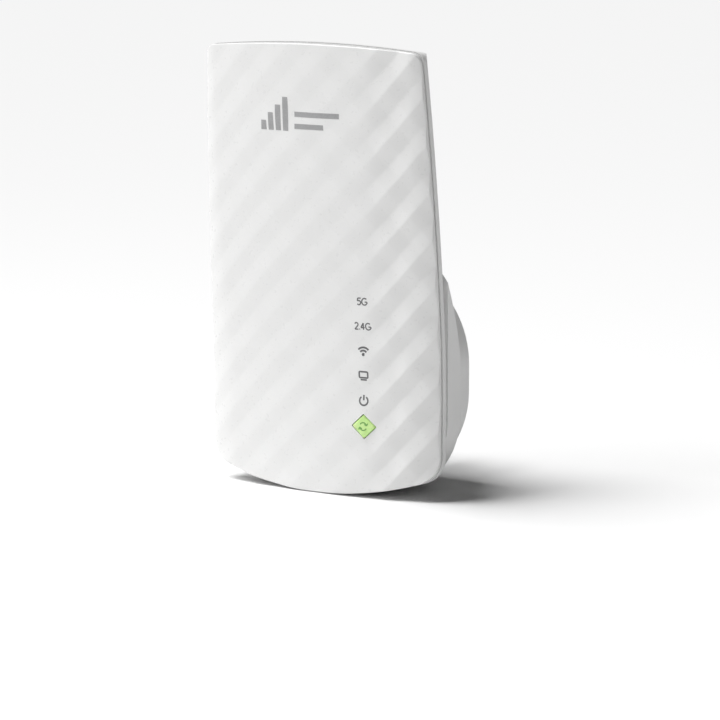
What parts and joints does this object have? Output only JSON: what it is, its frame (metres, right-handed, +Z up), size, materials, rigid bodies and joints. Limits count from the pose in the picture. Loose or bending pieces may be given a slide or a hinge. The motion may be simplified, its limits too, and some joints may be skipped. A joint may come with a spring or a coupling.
{
  "type": "wifi range extender",
  "caption": "Plug-in Wi-Fi range extender: leaning slab case with a woven front, a green pairing button, and a round plug boss with two flat blades behind.",
  "frame": {"origin": "centre of the plug boss's back face, midway between the two blades, where it meets the wall outlet", "axes": "+Z up, +Y into the wall along the blades, +X to the right seen from the front; the woven front faces -Y"},
  "size_m": [0.0662, 0.0551, 0.1097],
  "materials": {
    "cover_white": "gloss white moulding with a woven relief",
    "housing_white": "satin white moulding",
    "button_green": "translucent green moulding",
    "plug_metal": "nickel plated brass",
    "tin": "tinned sheet",
    "aluminium": "plain aluminium",
    "board_green": "green solder mask",
    "chip_black": "moulded epoxy",
    "moulding_black": "black moulding",
    "can_sleeve": "shrink sleeve",
    "ferrite": "ferrite",
    "tape_yellow": "polyester tape",
    "disc_blue": "epoxy dip",
    "guide_clear": "clear moulding",
    "foam_black": "foam gasket",
    "sheet_white": "insulating film",
    "label_silver": "satin label",
    "led_white": "resin",
    "pad_grey": "silicone pad",
    "contact_gold": "gold flash"
  },
  "bodies": {
    "case": {"front_cover": "cover_white", "back_housing": "housing_white", "blade_left": "plug_metal", "blade_right": "plug_metal", "blade_carrier": "housing_white", "rating_label": "label_silver", "power_board": "board_green", "power_screws": "tin", "processor": "chip_black", "radio_chip": "chip_black", "memory_chip": "chip_black", "flash_chip": "chip_black", "crystal": "tin", "ethernet_transformer": "chip_black", "transformer_core": "ferrite", "transformer_winding": "tape_yellow", "bridge_rectifier": "chip_black", "optocoupler": "moulding_black", "power_controller": "chip_black", "output_diode": "chip_black", "bulk_capacitor_left": "can_sleeve", "bulk_capacitor_right": "can_sleeve", "output_capacitor_left": "can_sleeve", "output_capacitor_right": "can_sleeve", "fuse": "moulding_black", "line_choke": "ferrite", "safety_capacitor": "disc_blue", "link_pins": "contact_gold", "link_header": "moulding_black", "insulating_sheet": "sheet_white", "main_board": "board_green", "board_screws": "tin", "processor_shield": "tin", "radio_shield": "tin", "thermal_pad": "pad_grey", "heat_spreader": "aluminium", "antenna_left": "tin", "antenna_right": "tin", "antenna_side": "tin", "status_leds": "led_white", "button_led": "led_white", "light_guide": "guide_clear", "light_mask": "foam_black", "pairing_switch": "moulding_black", "reset_switch": "moulding_black", "ethernet_shell": "tin", "ethernet_insert": "moulding_black", "ethernet_contacts": "contact_gold"},
    "button": {"pairing_button": "button_green"},
    "pairing_plunger": {"pairing_plunger": "moulding_black"},
    "reset_plunger": {"reset_plunger": "moulding_black"}
  },
  "joints": [
    {"name": "button_press", "type": "slide", "parent": "case", "child": "button", "axis": [0, 1, 0], "range_m": [0, 0.0005], "stiffness_N_per_m": 400},
    {"name": "pairing_plunger_press", "type": "slide", "parent": "case", "child": "pairing_plunger", "axis": [0, 1, 0], "range_m": [0, 0.0005]},
    {"name": "reset_press", "type": "slide", "parent": "case", "child": "reset_plunger", "axis": [0, 0, 1], "range_m": [0, 0.0003], "stiffness_N_per_m": 400}
  ],
  "couplings": [
    {"joint": "pairing_plunger_press", "follows": "button_press", "ratio": 1}
  ]
}
